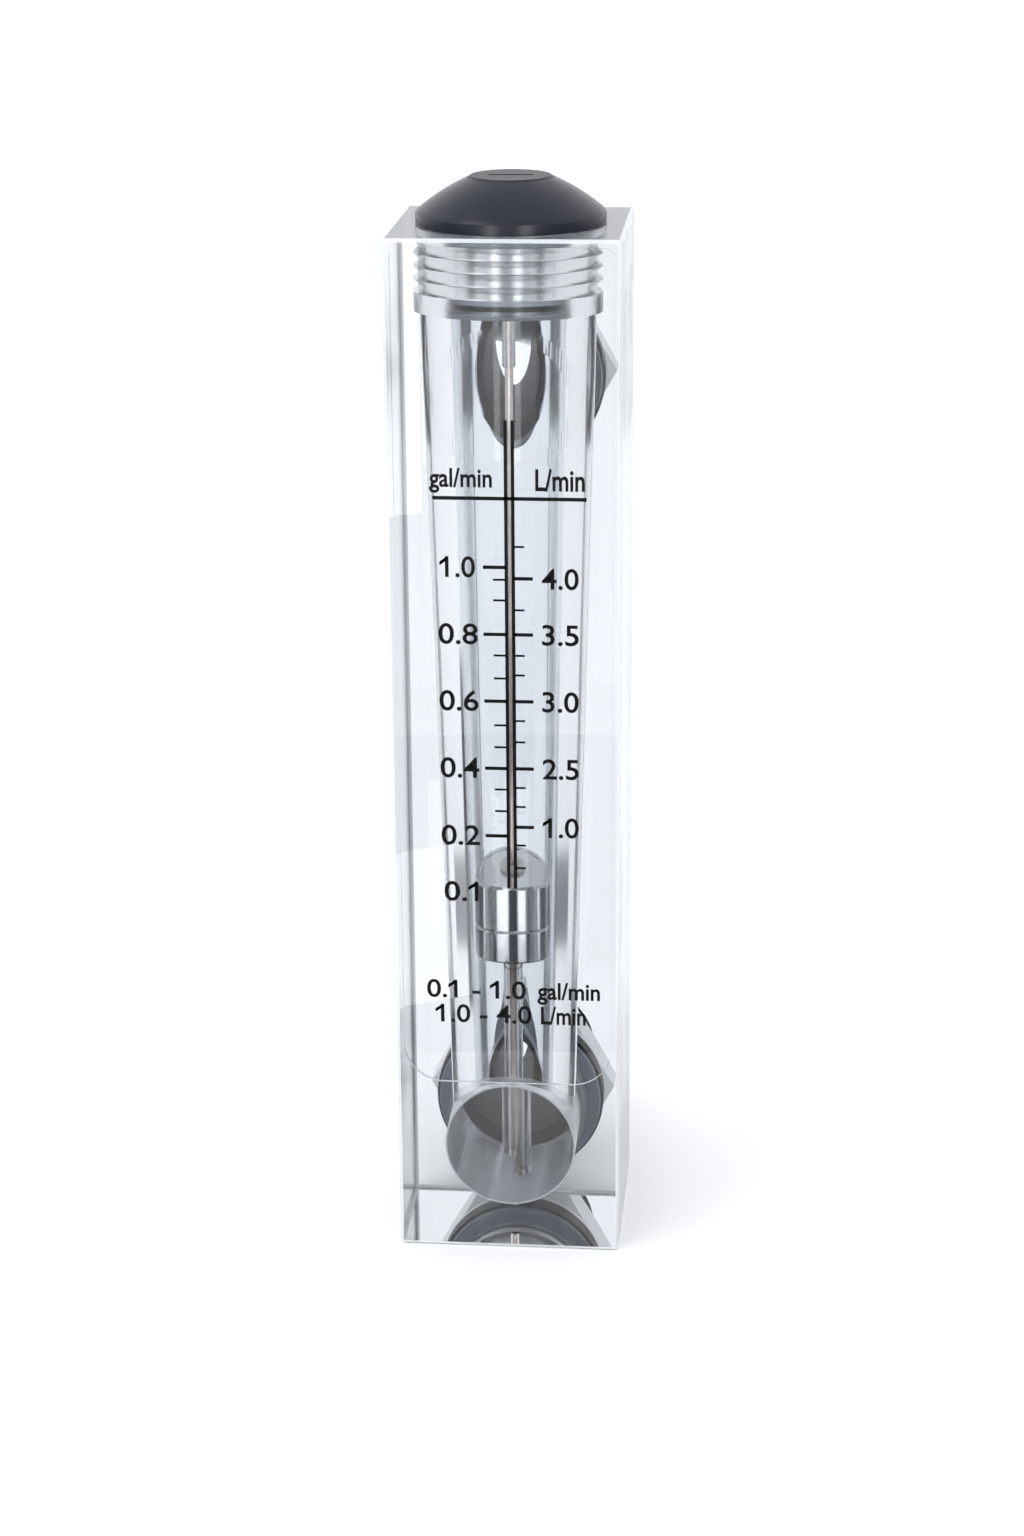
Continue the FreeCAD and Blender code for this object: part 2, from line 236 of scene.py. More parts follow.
# %% Mask for the tapped hole
def tapped_mask(tree, coords, inside):
    out = distance_from_axis(tree, coords, 5, (1, 1, 0))
    near = add(tree, "ShaderNodeMath", (-5, 5), {"operation": "COMPARE"},
               values={1: TAPPED_RADIUS, 2: TAPPED_BAND}, links={0: out})
    above = add(tree, "ShaderNodeMath", (-5, 6), {"operation": "GREATER_THAN"},
                values={1: span("plug_gasket")[0].z - A_HAIR}, links={0: inside.outputs["Z"]})
    both = add(tree, "ShaderNodeMath", (-4, 5), {"operation": "MULTIPLY"},
               links={0: near.outputs[0], 1: above.outputs[0]})
    return both.outputs[0]


print("tapped above", round(span("plug_gasket")[0].z / MM, 1), "mm")

# %% [markdown]
# The masks then steer two values.  Roughness rises on the worked surfaces.  Polishing leaves a
# haze finer than can be seen, so on the rest it is drawn as soft patches.

# %% How rough the block is
BORED_ROUGH, TAPPED_ROUGH, SANDED_ROUGH, HAZE_ROUGH = 0.14, 0.2, 0.18, 0.025


def block_roughness(tree, coords, cut, tapped, faces, step):
    haze = add(tree, "ShaderNodeTexNoise", (-5, -2), values={"Scale": 160.0, "Detail": 4.0},
               links={"Vector": coords.outputs["Object"]})
    polish = add(tree, "ShaderNodeMapRange", (-4, -2), values={3: 0.0, 4: HAZE_ROUGH},
                 links={0: haze.outputs["Fac"]})
    bored = add(tree, "ShaderNodeMix", (-3, 1), values={3: BORED_ROUGH},
                links={0: cut, 2: polish.outputs[0]})
    with_thread = add(tree, "ShaderNodeMix", (-2, 2), values={3: TAPPED_ROUGH},
                      links={0: tapped, 2: bored.outputs[0]})
    sanded = add(tree, "ShaderNodeMath", (-3, 3), {"operation": "MAXIMUM"},
                 links={0: faces, 1: step})
    rough = add(tree, "ShaderNodeMix", (-2, 1), values={3: SANDED_ROUGH},
                links={0: sanded.outputs[0], 2: with_thread.outputs[0]})
    return rough.outputs[0]


print("roughness from 0 to", max(BORED_ROUGH, TAPPED_ROUGH, SANDED_ROUGH))

# %% [markdown]
# Transmission falls where the plastic is whitened, and what doesn't pass is scattered back as
# from white plastic.  The sawn faces are a little pale and the inlet's wall is milkier.  The
# broken edges and the milled step are whitest, and so is the rim, where the white is a painted
# highlight.  Where several meet, the strongest counts.

# %% How much light passes
PALE, MILKY = 0.2, 0.38
LEAST_CLEAR = 0.25


def block_clearness(tree, faces, inlet, whitened_and_highlight):
    pale = add(tree, "ShaderNodeMath", (-3, 6), {"operation": "MULTIPLY"},
               values={1: PALE}, links={0: faces})
    milky = add(tree, "ShaderNodeMath", (-3, 7), {"operation": "MULTIPLY"},
                values={1: MILKY}, links={0: inlet})
    cloudy = pale
    for row, mask in enumerate([milky.outputs[0]] + whitened_and_highlight):
        cloudy = add(tree, "ShaderNodeMath", (-2, 6 + row), {"operation": "MAXIMUM"},
                     links={0: cloudy.outputs[0], 1: mask})
    clear = add(tree, "ShaderNodeMapRange", (-2, 5), values={3: 1.0, 4: LEAST_CLEAR},
                links={0: cloudy.outputs[0]})
    return clear.outputs[0]


print("the whitest edges let", LEAST_CLEAR, "of the light in")

# %% [markdown]
# The boring tool also leaves rings along the ports, one for each turn of its feed.  They are
# far too fine to model, so a wave along Y drives a bump there.  Thick acrylic is very faintly
# milky, and a thin scattering volume gives that: it lifts the darks of what stands behind.

# %% Cast acrylic, polished outside and tool-cut in the ports
def acrylic_block_material():
    material, tree = new_material("cast_acrylic_polished")
    coords = add(tree, "ShaderNodeTexCoord", (-8, 0))
    inside = add(tree, "ShaderNodeSeparateXYZ", (-7, 2), links={0: coords.outputs["Object"]})
    behind = add(tree, "ShaderNodeMath", (-6, 2), {"operation": "ABSOLUTE"},
                 links={0: inside.outputs["Y"]})
    cut, inlet, rim_highlight = port_masks(tree, coords, inside, behind)
    faces, step, arris = face_masks(tree, inside, behind)
    tapped = tapped_mask(tree, coords, inside)
    rough = block_roughness(tree, coords, cut, tapped, faces, step)
    clear = block_clearness(tree, faces, inlet, [arris, rim_highlight, step])
    rings = add(tree, "ShaderNodeTexWave", (-5, -3),
                {"wave_type": "BANDS", "bands_direction": "Y"},
                values={"Scale": WAVE / CUT_PITCH, "Distortion": 0.6, "Detail": 1.0},
                links={"Vector": coords.outputs["Object"]})
    height = add(tree, "ShaderNodeMath", (-4, -3), {"operation": "MULTIPLY"},
                 links={0: rings.outputs["Fac"], 1: cut})
    bump = add(tree, "ShaderNodeBump", (-2, -2), values={"Strength": 0.35, "Distance": 0.03 * MM},
               links={"Height": height.outputs[0]})
    # Nearly colourless, and clear enough to see the bore, the float and the rear fittings.
    shader = add(tree, "ShaderNodeBsdfPrincipled", (-1, 0),
                 values={"Base Color": linear(0xE6E9ED), "IOR": 1.49},
                 links={"Roughness": rough, "Normal": bump.outputs[0],
                        "Transmission Weight": clear})
    body = add(tree, "ShaderNodeVolumeScatter", (-1, -2),
               values={"Color": linear(0xEEF2F6), "Density": 3.0})
    add(tree, "ShaderNodeOutputMaterial", (0, 0),
        links={"Surface": shader.outputs[0], "Volume": body.outputs[0]})
    return material


cast_acrylic = acrylic_block_material()
print("made", cast_acrylic.name)

# %% [markdown]
# The plug is a clear moulding, the stem and the sleeve are cut from extruded stock, and the
# plug's seal is clear silicone.  Moulded acrylic has flow lines and a slightly softer surface
# than a polished block.  The sleeve is a little satin, so that the float's seat can be seen
# against the rod.

# %% Clear mouldings: plug, stem, sleeve and silicone seal
def clear_moulding(name, tint, roughness, ior, grain_mm, relief_mm):
    material, tree = new_material(name)
    coords = add(tree, "ShaderNodeTexCoord", (-5, 0))
    flow = add(tree, "ShaderNodeTexNoise", (-4, 0),
               values={"Scale": 1.0 / (grain_mm * MM), "Detail": 3.0, "Distortion": 0.4},
               links={"Vector": coords.outputs["Object"]})
    rough = add(tree, "ShaderNodeMapRange", (-3, 0),
                values={3: roughness * 0.6, 4: roughness * 1.4}, links={0: flow.outputs["Fac"]})
    bump = add(tree, "ShaderNodeBump", (-3, -1),
               values={"Strength": 0.3, "Distance": relief_mm * MM},
               links={"Height": flow.outputs["Fac"]})
    shader = add(tree, "ShaderNodeBsdfPrincipled", (-1, 0),
                 values={"Base Color": linear(tint), "IOR": ior, "Transmission Weight": 1.0},
                 links={"Roughness": rough.outputs[0], "Normal": bump.outputs[0]})
    add(tree, "ShaderNodeOutputMaterial", (0, 0), links={"Surface": shader.outputs[0]})
    return material


# Each gives the eye: a greyish plug, a bright stem, a satin sleeve, and a milky seal.
moulded_acrylic = clear_moulding("moulded_acrylic_clear", 0xB0B6BE, 0.10, 1.49, 2.5, 0.01)
stem_acrylic = clear_moulding("extruded_acrylic_clear", 0xF4F6F7, 0.04, 1.49, 1.5, 0.01)
frosted_sleeve = clear_moulding("extruded_pvc_frosted", 0xDDDBDA, 0.10, 1.53, 0.8, 0.01)
clear_silicone = clear_moulding("silicone_translucent", 0xE3E8EA, 0.45, 1.41, 1.2, 0.01)
print("made", moulded_acrylic.name, stem_acrylic.name, frosted_sleeve.name, clear_silicone.name)

# %% [markdown]
# ## Steel
# The float is stainless steel turned on a lathe and polished: fine rings run round it and
# stretch the highlights up and down.  A wave on the height gives the rings.

# %% Turned float
TURNED_PITCH = 0.09 * MM        # the feed of the finishing pass


def turned_steel_material():
    material, tree = new_material("stainless_steel_turned")
    coords = add(tree, "ShaderNodeTexCoord", (-6, 0))
    rings = add(tree, "ShaderNodeTexWave", (-5, 0),
                {"wave_type": "BANDS", "bands_direction": "Z"},
                values={"Scale": WAVE / TURNED_PITCH, "Distortion": 0.3, "Detail": 1.0},
                links={"Vector": coords.outputs["Object"]})
    wear = add(tree, "ShaderNodeTexNoise", (-5, -1), values={"Scale": 420.0, "Detail": 5.0},
               links={"Vector": coords.outputs["Object"]})
    rough = add(tree, "ShaderNodeMapRange", (-4, -1), values={3: 0.12, 4: 0.18},
                links={0: wear.outputs["Fac"]})
    # The rings run round the axis, so highlights stretch across them: up the wall, and
    # outwards on the end faces.  Two cross products give that direction everywhere.
    surface = add(tree, "ShaderNodeNewGeometry", (-5, 2))
    around = add(tree, "ShaderNodeVectorMath", (-4, 1), {"operation": "CROSS_PRODUCT"},
                 values={0: (0, 0, 1)}, links={1: coords.outputs["Object"]})
    across = add(tree, "ShaderNodeVectorMath", (-3, 1), {"operation": "CROSS_PRODUCT"},
                 links={0: around.outputs[0], 1: surface.outputs["Normal"]})
    bump = add(tree, "ShaderNodeBump", (-3, -1), values={"Strength": 0.25, "Distance": 0.004 * MM},
               links={"Height": rings.outputs["Fac"]})
    # Bright, with soft upright streaks that show how round it is.
    shader = add(tree, "ShaderNodeBsdfPrincipled", (-1, 0),
                 values={"Base Color": linear(0xC8C7C6), "Metallic": 1.0, "Anisotropic": 0.3},
                 links={"Roughness": rough.outputs[0], "Normal": bump.outputs[0],
                        "Tangent": across.outputs[0]})
    add(tree, "ShaderNodeOutputMaterial", (0, 0), links={"Surface": shader.outputs[0]})
    return material


turned_steel = turned_steel_material()
print("made", turned_steel.name)

# %% [markdown]
# The rod is drawn through a die, so its fine lines run along it.  A noise that is stretched
# along the height gives such lines, and they only change how rough the steel is.

# %% Drawn rod
def drawn_steel_material():
    material, tree = new_material("stainless_steel_drawn")
    coords = add(tree, "ShaderNodeTexCoord", (-6, 0))
    along = add(tree, "ShaderNodeMapping", (-5, 0), values={"Scale": (1, 1, 0.02)},
                links={"Vector": coords.outputs["Object"]})
    lines = add(tree, "ShaderNodeTexNoise", (-4, 0), values={"Scale": 6000.0, "Detail": 2.0},
                links={"Vector": along.outputs[0]})
    rough = add(tree, "ShaderNodeMapRange", (-3, 0), values={3: 0.12, 4: 0.28},
                links={0: lines.outputs["Fac"]})
    # A little warmer than the float, with one thin highlight along it.
    shader = add(tree, "ShaderNodeBsdfPrincipled", (-1, 0),
                 values={"Base Color": linear(0xD2C6BC), "Metallic": 1.0},
                 links={"Roughness": rough.outputs[0]})
    add(tree, "ShaderNodeOutputMaterial", (0, 0), links={"Surface": shader.outputs[0]})
    return material


drawn_steel = drawn_steel_material()
print("made", drawn_steel.name)

# %% [markdown]
# ## Opaque mouldings and rubber
# The cap is injection-moulded ABS, smooth enough for a soft wide highlight.  The fittings are
# black glass-filled nylon with a fine spark-eroded grain, and their nuts and washers natural
# nylon.  The O-rings are nitrile rubber and the gaskets grey silicone, both dull.  One recipe
# serves all, with a grain of its own size for each.

# %% Opaque mouldings
BLASTED_ROUGH = 0.4
DISC_DEPTH = 0.3 * MM


def moulding(name, colour, rough_low, rough_high, grain_mm, relief_mm, ior, matt_above=None):
    material, tree = new_material(name)
    coords = add(tree, "ShaderNodeTexCoord", (-6, 0))
    grain = add(tree, "ShaderNodeTexNoise", (-5, 0),
                values={"Scale": 1.0 / (grain_mm * MM), "Detail": 4.0, "Roughness": 0.6},
                links={"Vector": coords.outputs["Object"]})
    sweep = add(tree, "ShaderNodeTexNoise", (-5, -1), values={"Scale": 120.0, "Detail": 2.0},
                links={"Vector": coords.outputs["Object"]})
    rough = add(tree, "ShaderNodeMapRange", (-4, -1), values={3: rough_low, 4: rough_high},
                links={0: sweep.outputs["Fac"]})
    if matt_above is not None:
        # The mould's flat end is blasted, so the disc on top is duller than the dome.
        place = add(tree, "ShaderNodeSeparateXYZ", (-5, 2), links={0: coords.outputs["Object"]})
        disc = add(tree, "ShaderNodeMath", (-4, 2), {"operation": "GREATER_THAN"},
                   values={1: matt_above}, links={0: place.outputs["Z"]})
        rough = add(tree, "ShaderNodeMix", (-3, 1), values={3: BLASTED_ROUGH},
                    links={0: disc.outputs[0], 2: rough.outputs[0]})
    tone = add(tree, "ShaderNodeMix", (-4, 1), {"data_type": "RGBA", "blend_type": "MULTIPLY"},
               values={0: 0.25, 6: linear(colour)}, links={7: grain.outputs["Color"]})
    bump = add(tree, "ShaderNodeBump", (-3, -1),
               values={"Strength": 0.4, "Distance": relief_mm * MM},
               links={"Height": grain.outputs["Fac"]})
    shader = add(tree, "ShaderNodeBsdfPrincipled", (-1, 0), values={"IOR": ior},
                 links={"Base Color": tone.outputs[2], "Roughness": rough.outputs[0],
                        "Normal": bump.outputs[0]})
    add(tree, "ShaderNodeOutputMaterial", (0, 0), links={"Surface": shader.outputs[0]})
    return material


# Each gives the eye: a blue-black dome with a soft sheen, dull black fittings, pale nuts and
# washers, soft black O-rings, mid grey gaskets, and an off-white bearing in the float.
abs_cap = moulding("abs_smooth_black", 0x091223, 0.24, 0.3, 0.35, 0.004, 1.4,
                   matt_above=cap_high.z - DISC_DEPTH)
nylon_black = moulding("nylon_grained_black", 0x0B0E14, 0.42, 0.58, 0.16, 0.02, 1.36)
nylon_natural = moulding("nylon_natural", 0xE6E8E9, 0.4, 0.55, 0.2, 0.015, 1.53)
nitrile = moulding("nitrile_rubber", 0x161618, 0.6, 0.8, 0.25, 0.02, 1.52)
grey_silicone = moulding("silicone_grey", 0x858D9A, 0.5, 0.7, 0.3, 0.015, 1.45)
acetal = moulding("acetal_natural", 0xE4E4DF, 0.35, 0.5, 0.3, 0.008, 1.48)
print("made", [m.name for m in (abs_cap, nylon_black, nylon_natural, nitrile, grey_silicone,
                                acetal)])

# %% [markdown]
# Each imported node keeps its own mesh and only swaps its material, because its shape is
# already right.

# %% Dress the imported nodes
finishes = {
    "metering_block": cast_acrylic,
    "top_plug": moulded_acrylic,
    "upper_float_stop": stem_acrylic,
    "plug_gasket": clear_silicone,
    "lower_float_stop": frosted_sleeve,
    "plug_cap": abs_cap,
    "guide_rod": drawn_steel,
    "float_body": turned_steel,
    "float_bearing_tube": acetal,
    "float_retaining_ring": acetal,
}
for side in ("inlet", "outlet"):
    finishes[side + "_fitting"] = nylon_black
    finishes[side + "_nut"] = nylon_natural
    finishes[side + "_washer"] = nylon_natural
    finishes[side + "_gasket"] = grey_silicone
    finishes[side + "_o_ring"] = nitrile

for node, material in finishes.items():
    piece = bpy.data.objects[node]
    for slot in piece.material_slots:
        slot.material = material
print("dressed", len(finishes), "nodes")

# %% [markdown]
# ## Turned pieces in more detail
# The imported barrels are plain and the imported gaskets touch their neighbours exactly.  Two
# surfaces in one place confuse the light, and a real gasket bulges a little where it is
# squeezed, so both are made again: each is a row of rings of points, joined into a closed skin.
# Where the outline turns sharply, the shading has to break too, and curves stay smooth.

# %% A closed skin from rings of points
SHARP = math.radians(32)


def turned_piece(name, stations, place, node, material, steps=120):
    """Rings of (radius, along): a radius is a number, or a function of the turn and place."""
    vertices = []
    for radius, along in stations:
        for i in range(steps):
            turn = 2 * math.pi * i / steps
            r = radius(turn, along) if callable(radius) else radius
            vertices.append(place(r * math.cos(turn), r * math.sin(turn), along))
    count = len(stations)
    faces = []
    for j in range(count):
        k = (j + 1) % count
        for i in range(steps):
            n = (i + 1) % steps
            faces.append((j * steps + i, j * steps + n, k * steps + n, k * steps + i))
    mesh = bpy.data.meshes.new(name)
    mesh.from_pydata(vertices, [], faces)
    mesh.materials.append(material)
    work = bmesh.new()
    work.from_mesh(mesh)
    bmesh.ops.recalc_face_normals(work, faces=work.faces[:])
    for face in work.faces:
        face.smooth = True
    for edge in work.edges:
        if edge.calc_face_angle(0.0) > SHARP:
            edge.smooth = False
    work.to_mesh(mesh)
    work.free()
    piece = bpy.data.objects.new(name, mesh)
    bpy.context.collection.objects.link(piece)
    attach(piece, "block")
    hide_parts(node)


def on_port(height):
    return lambda a, b, along: (a, along, height + b)


def on_axis(a, b, along):
    return (a, b, along)


print("edges sharper than", round(math.degrees(SHARP)), "degrees stay sharp")

# %% [markdown]
# A gasket between two flat faces is squeezed flat there and bulges at its free outer edge.  The
# bulge is a parabola, highest half way up.  A hair of space to either side keeps its faces off
# its neighbours'.

# %% Squeezed gaskets
PORT_HOLE = 10.5 * MM
PLUG_SEAL_INNER = 11.68 * MM
SEAT_GAP = 0.03 * MM
PORT_BULGE, PLUG_BULGE = 0.12 * MM, 0.05 * MM
BULGE_STEPS = 4


def squeezed_ring(inner, outer, low, high, bulge):
    """The outline of a flat ring whose free outer edge bulges."""
    low, high = low + SEAT_GAP, high - SEAT_GAP
    outline = [(inner, low)]
    for k in range(BULGE_STEPS + 1):
        share = k / BULGE_STEPS
        swell = bulge * (1 - (2 * share - 1) ** 2)
        outline.append((outer - bulge + swell, low + (high - low) * share))
    outline.append((inner, high))
    return outline


for side, height in (("inlet", inlet_z), ("outlet", outlet_z)):
    low, high = span(side + "_gasket")
    ring = squeezed_ring(PORT_HOLE, (high.x - low.x) / 2, low.y, high.y, PORT_BULGE)
    turned_piece(side + "_gasket_squeezed", ring, on_port(height), side + "_gasket", grey_silicone)
low, high = span("plug_gasket")
ring = squeezed_ring(PLUG_SEAL_INNER, (high.x - low.x) / 2, low.z, high.z, PLUG_BULGE)
turned_piece("plug_gasket_squeezed", ring, on_axis, "plug_gasket", clear_silicone)
print("plug seal", round((high.z - low.z) / MM, 2), "mm thick")

# %% [markdown]
# The barrels behind the nuts carry a fine pipe thread.  It is one groove that winds round, so
# a ring's radius depends on both the turn and the place along the axis: a triangle wave whose
# phase moves on by one pitch a turn.  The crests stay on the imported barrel's surface, and the
# groove fades in beside the nut and out at the chamfer.

# %% A radius that winds
THREAD_DEPTH = 1.162 * MM
THREAD_PITCH = 1.814 * MM
FADE_OUT = 0.3 * THREAD_PITCH


def wound_thread(crest, first, last, chamfer):
    def radius(turn, along):
        phase = (along / THREAD_PITCH + turn / (2 * math.pi)) % 1.0
        depth = THREAD_DEPTH * abs(2 * phase - 1)
        fade = min(1.0, (along - first) / THREAD_PITCH, (last - along) / FADE_OUT)
        edge = crest - max(0.0, along - (last - chamfer))
        return min(crest - depth * max(0.0, fade), edge)
    return radius


print("thread pitch", round(THREAD_PITCH / MM, 3), "mm")

# %% [markdown]
# A fitting's outline runs from the bore's inner end outwards: the shank in the port with the
# O-ring's groove, the flange on its gasket, and the barrel.  The stretch under the washer and
# nut stays plain.  Behind the nut the rings stand close enough to draw the groove.

# %% Fittings with the wound thread
BORE = 8.0 * MM
GROOVE_AT, GROOVE_HALF, GROOVE_FLOOR = 11.9 * MM, 0.75 * MM, 9.0 * MM
CREST_GAP = 0.02 * MM
FLANGE_BEVEL = 0.5 * MM
END_CHAMFER = 1.0 * MM
RING_STEP = 0.14 * MM

for side, height in (("inlet", inlet_z), ("outlet", outlet_z)):
    low, high = span(side + "_fitting")
    wide = (high.x - low.x) / 2
    seat = span(side + "_washer")[0].y
    flange = span(side + "_gasket")[1].y
    nut_back = span(side + "_nut")[1].y
    crest = PORT_HOLE - CREST_GAP
    cut = wound_thread(crest, nut_back, high.y, END_CHAMFER)
    rows = [(BORE, low.y), (crest, low.y), (crest, GROOVE_AT - GROOVE_HALF),
            (GROOVE_FLOOR, GROOVE_AT - GROOVE_HALF), (GROOVE_FLOOR, GROOVE_AT + GROOVE_HALF),
            (crest, GROOVE_AT + GROOVE_HALF), (crest, flange), (wide, flange),
            (wide, seat - FLANGE_BEVEL), (wide - FLANGE_BEVEL, seat), (crest, seat),
            (crest, nut_back)]
    rings = round((high.y - nut_back) / RING_STEP)
    rows += [(cut, nut_back + (high.y - nut_back) * k / rings) for k in range(1, rings + 1)]
    rows.append((BORE, high.y))
    turned_piece(side + "_fitting_threaded", rows, on_port(height), side + "_fitting",
                 nylon_black, steps=96)
print("rings in a fitting:", len(rows))

# %% [markdown]
# ## The printed scale
# The scale is screen printed in black on the shallow flat of the block's front.  Ink stands
# a few hundredths of a millimetre proud, so each mark is a thin closed slab just clear of the
# flat.  The print sits a little to the right of the block's middle, as printing often does.

# %% Where the print lies, and its ink
INK = 0.04 * MM
INK_GAP = 0.005 * MM
CENTRE = 0.8 * MM
ink_back = block_low.y + FLAT_DEPTH - INK_GAP
ink_front = ink_back - INK
ink_mid = (ink_back + ink_front) / 2
printed = []


def ink_material():
    material, tree = new_material("screen_ink_black")
    coords = add(tree, "ShaderNodeTexCoord", (-4, 0))
    mesh_marks = add(tree, "ShaderNodeTexNoise", (-3, 0), values={"Scale": 5000.0, "Detail": 1.0},
                     links={"Vector": coords.outputs["Object"]})
    rough = add(tree, "ShaderNodeMapRange", (-2, 0), values={3: 0.35, 4: 0.55},
                links={0: mesh_marks.outputs["Fac"]})
    # Dull and almost black, so that thin strokes keep their contrast against the light bore.
    shader = add(tree, "ShaderNodeBsdfPrincipled", (-1, 0),
                 values={"Base Color": linear(0x060608), "Specular IOR Level": 0.12},
                 links={"Roughness": rough.outputs[0]})
    add(tree, "ShaderNodeOutputMaterial", (0, 0), links={"Surface": shader.outputs[0]})
    return material


black_ink = ink_material()
print("ink", black_ink.name, "is", round(INK / MM, 3), "mm thick")

# %% [markdown]
# Ticks repeat, so Geometry Nodes make them: a row of points goes in, a bar is set on each
# point, and the result gets its ink.  One tree serves every row, because the bar's size and
# the ink are inputs of the tree.

# %% A Geometry Nodes tree that sets a bar on every point
def bar_row_tree():
    tree = bpy.data.node_groups.new("bars_on_points", "GeometryNodeTree")
    face = tree.interface
    face.new_socket("Geometry", in_out="INPUT", socket_type="NodeSocketGeometry")
    face.new_socket("Bar Size", in_out="INPUT", socket_type="NodeSocketVector")
    face.new_socket("Ink", in_out="INPUT", socket_type="NodeSocketMaterial")
    face.new_socket("Geometry", in_out="OUTPUT", socket_type="NodeSocketGeometry")
    come = add(tree, "NodeGroupInput", (-3, 0))
    bar = add(tree, "GeometryNodeMeshCube", (-2, -1), links={"Size": come.outputs["Bar Size"]})
    row = add(tree, "GeometryNodeInstanceOnPoints", (-1, 0),
              links={"Points": come.outputs["Geometry"], "Instance": bar.outputs["Mesh"]})
    real = add(tree, "GeometryNodeRealizeInstances", (0, 0), links={0: row.outputs[0]})
    dressed = add(tree, "GeometryNodeSetMaterial", (1, 0),
                  links={"Geometry": real.outputs[0], "Material": come.outputs["Ink"]})
    add(tree, "NodeGroupOutput", (2, 0), links={0: dressed.outputs[0]})
    return tree


bars = bar_row_tree()
print("tree", bars.name, "has", len(bars.nodes), "nodes")

# %% [markdown]
# A modifier is only a recipe, so the finished row is baked into a plain mesh, which rides on
# the block like every other printed mark.

# %% From a row of points to a printed piece
def set_inputs(modifier, settings):
    """A modifier's input is set by the identifier of its socket."""
    for item in modifier.node_group.interface.items_tree:
        if item.item_type == "SOCKET" and item.in_out == "INPUT" and item.name in settings:
            modifier[item.identifier] = settings[item.name]


def baked(name, source, body):
    """Turn an object with live modifiers into a plain piece that rides on a body."""
    bpy.context.view_layer.update()
    graph = bpy.context.evaluated_depsgraph_get()
    mesh = bpy.data.meshes.new_from_object(source.evaluated_get(graph), depsgraph=graph)
    source.modifiers.clear()
    bpy.data.objects.remove(source)
    piece = bpy.data.objects.new(name, mesh)
    mesh.name = name
    bpy.context.collection.objects.link(piece)
    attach(piece, body)
    return piece


def bar_row(name, points, size):
    mesh = bpy.data.meshes.new(name + "_points")
    mesh.from_pydata(points, [], [])
    source = bpy.data.objects.new(name + "_points", mesh)
    bpy.context.collection.objects.link(source)
    modifier = source.modifiers.new("bars", "NODES")
    modifier.node_group = bars
    set_inputs(modifier, {"Bar Size": size, "Ink": black_ink})
    piece = baked(name, source, "block")
    printed.append(piece)
    print(name, len(points), "bars")


print("ready to print from", round(ink_front / MM, 3), "to", round(ink_back / MM, 3), "mm")

# %% [markdown]
# The scale's heights follow the flow, so they are unequal.  Each list holds heights in
# millimetres above the base.  The long marks stand by the numbers, and the short ones between.
# The lowest number on the left has no mark.

# %% The ticks, the double line and the rule
LINE_GAP = 0.98 * MM
LINE_WIDE = 0.48 * MM
SCALE_LOW, SCALE_HIGH = 57.8 * MM, 127.0 * MM
RULE_HEIGHT, RULE_WIDE, RULE_TALL = 115.9 * MM, 21.6 * MM, 0.52 * MM
LONG, SHORT = 0.5 * MM, 0.3 * MM
left_edge = CENTRE - LINE_GAP / 2
right_edge = CENTRE + LINE_GAP / 2

left_numbers = {"1.0": 106.0, "0.8": 96.2, "0.6": 86.3, "0.4": 76.2, "0.2": 65.9, "0.1": 57.2}
right_numbers = {"4.0": 104.4, "3.5": 96.2, "3.0": 86.3, "2.5": 76.2, "1.0": 67.3}
left_short = [104.2, 101.2, 93.1, 89.7, 82.7, 79.4, 73.0, 69.7]
right_short = [109.0, 99.8, 93.1, 90.2, 83.4, 80.2, 73.3, 70.4, 64.5, 61.0]


def tick_row(name, heights, inner, reach, thick):
    middle = inner + reach / 2
    points = [(middle, ink_mid, h * MM) for h in heights]
    bar_row(name, points, (abs(reach), INK, thick))


left_long = list(left_numbers.values())[:-1]
right_long = list(right_numbers.values())
tick_row("ticks_left_long", left_long, left_edge, -3.3 * MM, LONG)
tick_row("ticks_left_short", left_short, left_edge, -1.9 * MM, SHORT)
tick_row("ticks_right_long", right_long, right_edge, 2.75 * MM, LONG)
tick_row("ticks_right_short", right_short, right_edge, 1.55 * MM, SHORT)
line_mid = (SCALE_LOW + SCALE_HIGH) / 2
bar_row("scale_lines", [(left_edge, ink_mid, line_mid), (right_edge, ink_mid, line_mid)],
        (LINE_WIDE, INK, SCALE_HIGH - SCALE_LOW))
bar_row("scale_rule", [(CENTRE, ink_mid, RULE_HEIGHT)], (RULE_WIDE, INK, RULE_TALL))

# %% [markdown]
# Numbers are text objects, and Blender's own font draws the figure 1 as a bare bar.  On a
# scale a 1 with a flag reads better, so each narrow letter gets one.  Letters are islands of
# the mesh: walking from vertex to vertex along the edges finds them one by one.

# %% A flag for the figure 1
NARROW = 3.2    # a letter that is taller than this many widths is a 1


